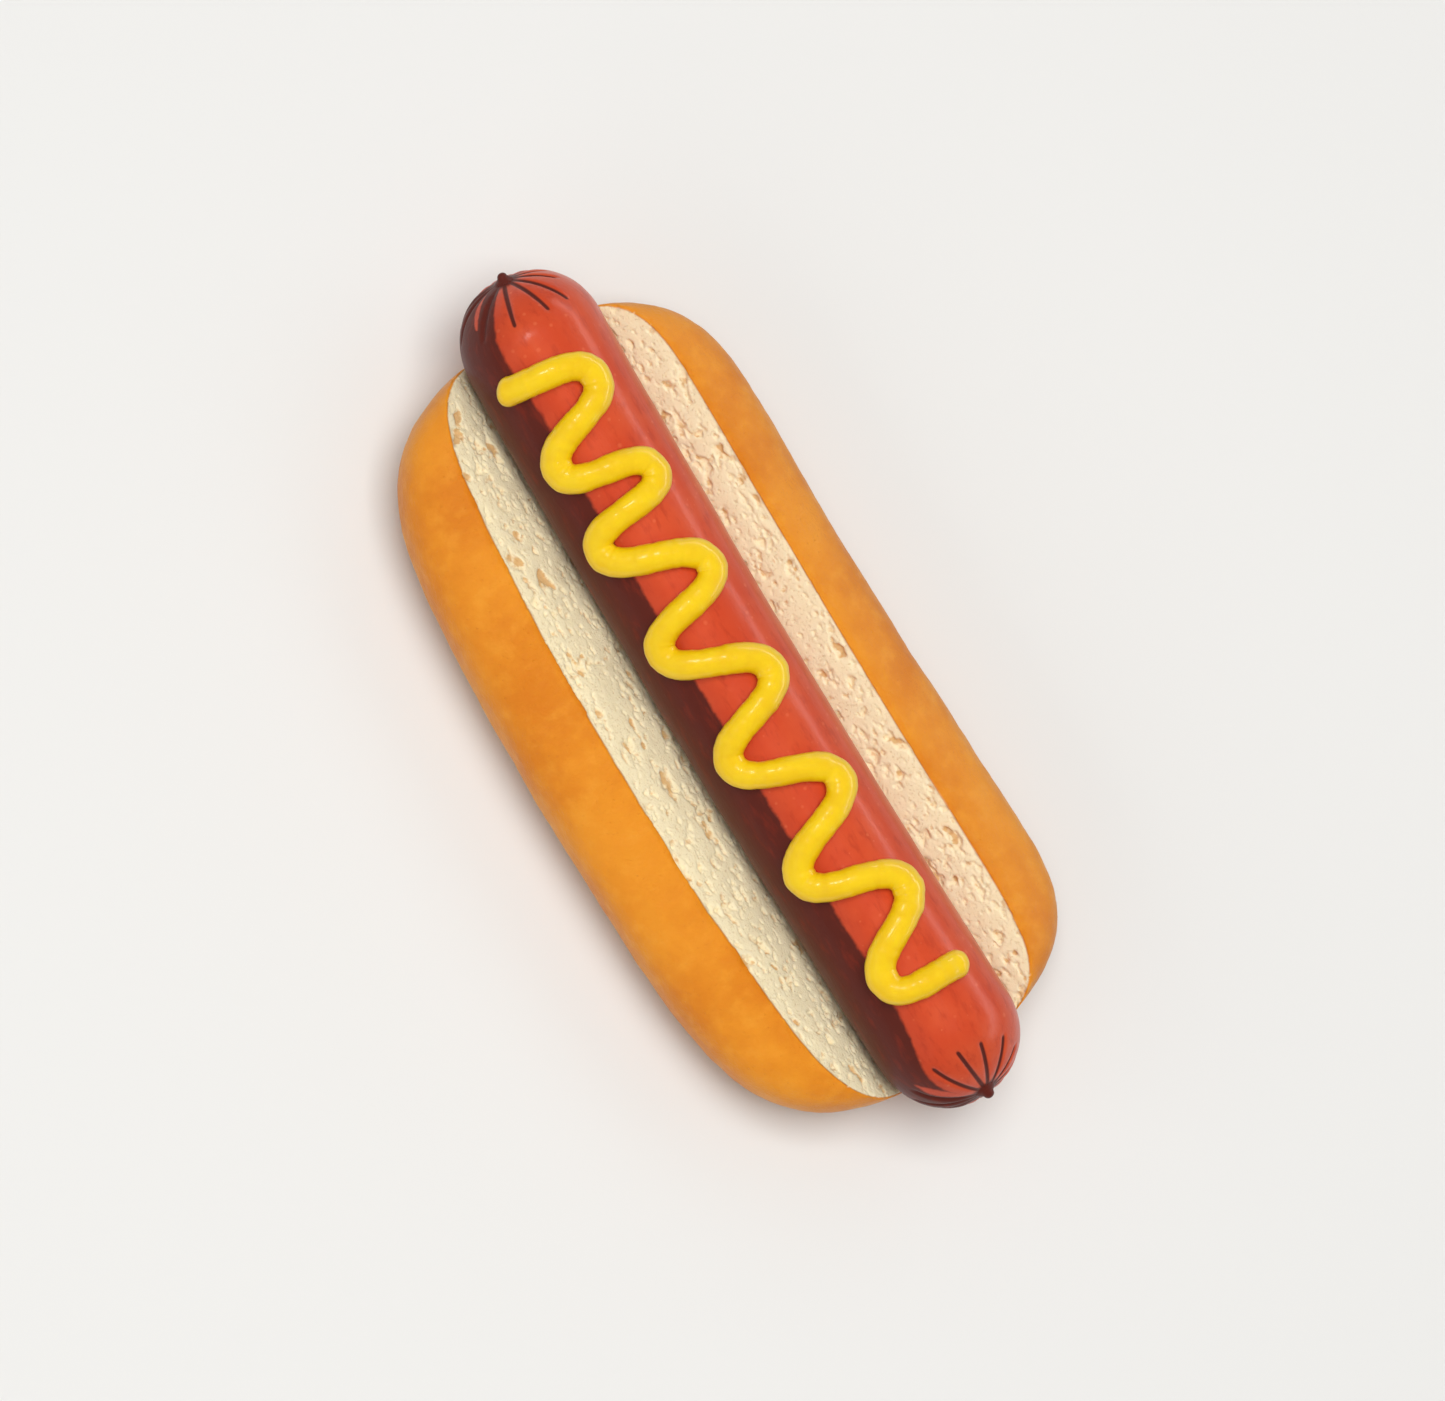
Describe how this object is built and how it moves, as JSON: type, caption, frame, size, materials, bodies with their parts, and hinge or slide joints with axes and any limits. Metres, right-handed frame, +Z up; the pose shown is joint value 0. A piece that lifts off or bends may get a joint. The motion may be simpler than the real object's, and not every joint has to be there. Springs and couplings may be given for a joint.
{
  "type": "hot dog",
  "caption": "Hot dog: a long soft roll opened along its top, holding a frankfurter with mustard squeezed along it in a zigzag.",
  "frame": {"origin": "under the middle of the whole hot dog, on the flat underside of the roll", "axes": "+X along the roll and the frankfurter, +Y across to the roll's narrower half, +Z up"},
  "size_m": [0.1654, 0.0722, 0.0427],
  "materials": {
    "bread": "golden-orange baked crust, satin, with a matt cream crumb where it is cut",
    "sausage": "red-brown casing, glossy, browned dark along one flank",
    "mustard": "smooth bright yellow mustard, glossy"
  },
  "bodies": {
    "root": {"bun": "bread", "sausage": "sausage", "mustard": "mustard"}
  },
  "joints": []
}
